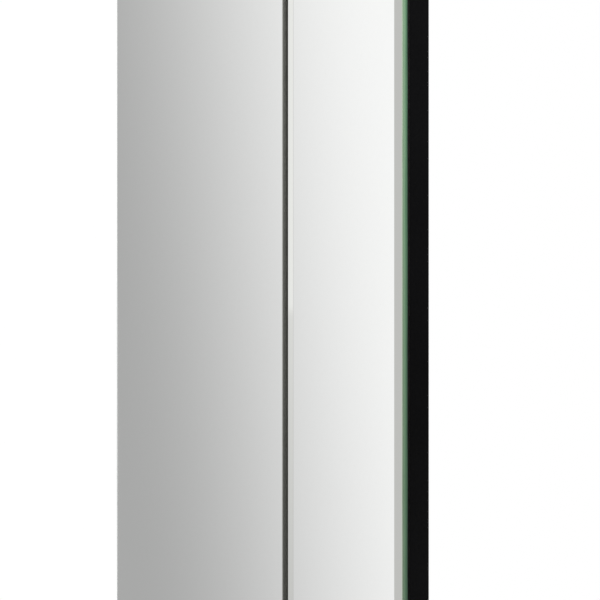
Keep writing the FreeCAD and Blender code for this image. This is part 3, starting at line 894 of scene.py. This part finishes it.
# what the mirror sees: bearings in degrees from straight ahead towards its left, heights in degrees
panels = {"ambient": 0.40, "tilt": 0.13, "nearEdge": (41.1, 33.1), "grey": 0.416, "white": 0.985,
          "farEdge": (19.0, 33.3), "ahead": 0.545, "slant": 0.6, "rise": (1.5, -8.0), "right": 0.90,
          "fall": (-14.0, -30.0), "fallGlow": 0.60,
          "strip": 40.527, "stripGlow": 1.07, "stripFade": (43.0, 49.0),
          "gapGlow": 0.5, "gapFade": (53.0, 59.0),
          "side": 0.845, "sideLow": (0.73, 0.58), "horizon": (-0.2, -7.0), "brink": (-0.42, -0.08),
          "dusk": (-7.0, -16.0), "duskGlow": (1.0, 0.50),
          "behind": (95.0, 125.0), "rearRise": (-5.0, 50.0), "rearGlow": (0.36, 1.1)}


def frontGlow(tree, bearing, aside, height):
    grey, white, ahead, right = (panels[key] for key in ("grey", "white", "ahead", "right"))
    lean = calc(tree, "MULTIPLY", height, panels["tilt"])
    nearEdge = fade(tree, calc(tree, "SUBTRACT", aside, lean), panels["nearEdge"], (grey, white))
    farEdge = fade(tree, calc(tree, "SUBTRACT", bearing, lean), panels["farEdge"], (ahead, white))
    slanted = calc(tree, "SUBTRACT", bearing, calc(tree, "MULTIPLY", height, panels["slant"]))
    rise = fade(tree, slanted, panels["rise"], (ahead, right))
    fall = fade(tree, slanted, panels["fall"], (right, panels["fallGlow"]))
    beyond = calc(tree, "MAXIMUM", farEdge, calc(tree, "MINIMUM", rise, fall))
    glow = calc(tree, "MINIMUM", nearEdge, beyond)
    return mix(tree, calc(tree, "GREATER_THAN", aside, panels["strip"]), glow, panels["stripGlow"])


def sideGlow(tree, height):
    low = mapRange(tree, height, panels["horizon"], panels["sideLow"])
    above = fade(tree, height, panels["brink"], (0.0, 1.0))
    return mix(tree, above, low, panels["side"])


def makeSky():
    world = bpy.data.worlds.new("studio")
    bpy.context.scene.world = world
    world.use_nodes = True
    tree = world.node_tree
    tree.nodes.clear()
    axes = splitAxes(tree, addNode(tree, "ShaderNodeTexCoord").outputs["Generated"])
    left, forward = (calc(tree, "MULTIPLY", axes[axis], -1.0) for axis in (0, 1))
    bearing = calc(tree, "DEGREES", calc(tree, "ARCTAN2", left, forward))
    aside = calc(tree, "ABSOLUTE", bearing)
    height = calc(tree, "DEGREES", calc(tree, "ARCSINE", axes[2]))
    glow = frontGlow(tree, bearing, aside, height)
    for edge, beyond in (("stripFade", panels["gapGlow"]), ("gapFade", sideGlow(tree, height))):
        glow = mix(tree, fade(tree, aside, panels[edge], (0.0, 1.0)), glow, beyond)
    glow = calc(tree, "MULTIPLY", glow, fade(tree, height, panels["dusk"], panels["duskGlow"]))
    rear = fade(tree, height, panels["rearRise"], panels["rearGlow"])
    glow = mix(tree, fade(tree, aside, panels["behind"], (0.0, 1.0)), glow, rear)
    seen, soft, white = (
        addNode(tree, "ShaderNodeBackground", {"Color": (1, 1, 1, 1), "Strength": strength}).outputs[0]
        for strength in (glow, panels["ambient"], 1.0))
    path = addNode(tree, "ShaderNodeLightPath").outputs
    shiny = calc(tree, "MAXIMUM", path["Is Glossy Ray"], path["Is Transmission Ray"])
    light = addNode(tree, "ShaderNodeMixShader", {0: shiny, 1: soft, 2: seen}).outputs[0]
    sky = addNode(tree, "ShaderNodeMixShader", {0: path["Is Camera Ray"], 1: light, 2: white}).outputs[0]
    plugIn(tree, sky, addNode(tree, "ShaderNodeOutputWorld").inputs["Surface"])


lamps = {"side": {"spot": (0.47, -0.08, 0.13), "aim": (0.305, -0.01, 0.06), "width": 0.14, "watts": 0.43},
         "front": {"spot": (-1.3, -2.2, 1.7), "aim": (0, 0, 0), "width": 1.6, "watts": 66.0},
         "rear": {"spot": (-1.4, 2.1, 1.6), "aim": (0, 0, 0), "width": 1.6, "watts": 70.0}}


def makeLamps():
    for name, lamp in lamps.items():
        light = bpy.data.lights.new(f"{name}Lamp", "AREA")
        light.size = lamp["width"]
        light.energy = lamp["watts"]
        holder = bpy.data.objects.new(f"{name}Lamp", light)
        holder.location = lamp["spot"]
        towards = Vector(lamp["aim"]) - Vector(lamp["spot"])
        holder.rotation_euler = towards.to_track_quat("-Z", "Y").to_euler()
        holder.visible_glossy = False
        bpy.context.scene.collection.objects.link(holder)


camera = {"lens": 150.17, "sensor": 36.0, "bearing": 36.35, "distance": 0.9,
          "aim": (0.261002, -0.0175, 0.0)}


def makeCamera():
    lens = bpy.data.cameras.new("camera")
    lens.lens = camera["lens"]
    lens.sensor_width = camera["sensor"]
    holder = bpy.data.objects.new("camera", lens)
    turn = math.radians(camera["bearing"])
    back = Vector((math.sin(turn), -math.cos(turn), 0)) * camera["distance"]
    holder.location = Vector(camera["aim"]) + back
    holder.rotation_euler = (math.pi / 2, 0, turn)
    bpy.context.scene.collection.objects.link(holder)
    bpy.context.scene.camera = holder


makeFloor()
makeSky()
makeLamps()
makeCamera()
bpy.context.scene.view_settings.view_transform = "Standard"
print("studio made")
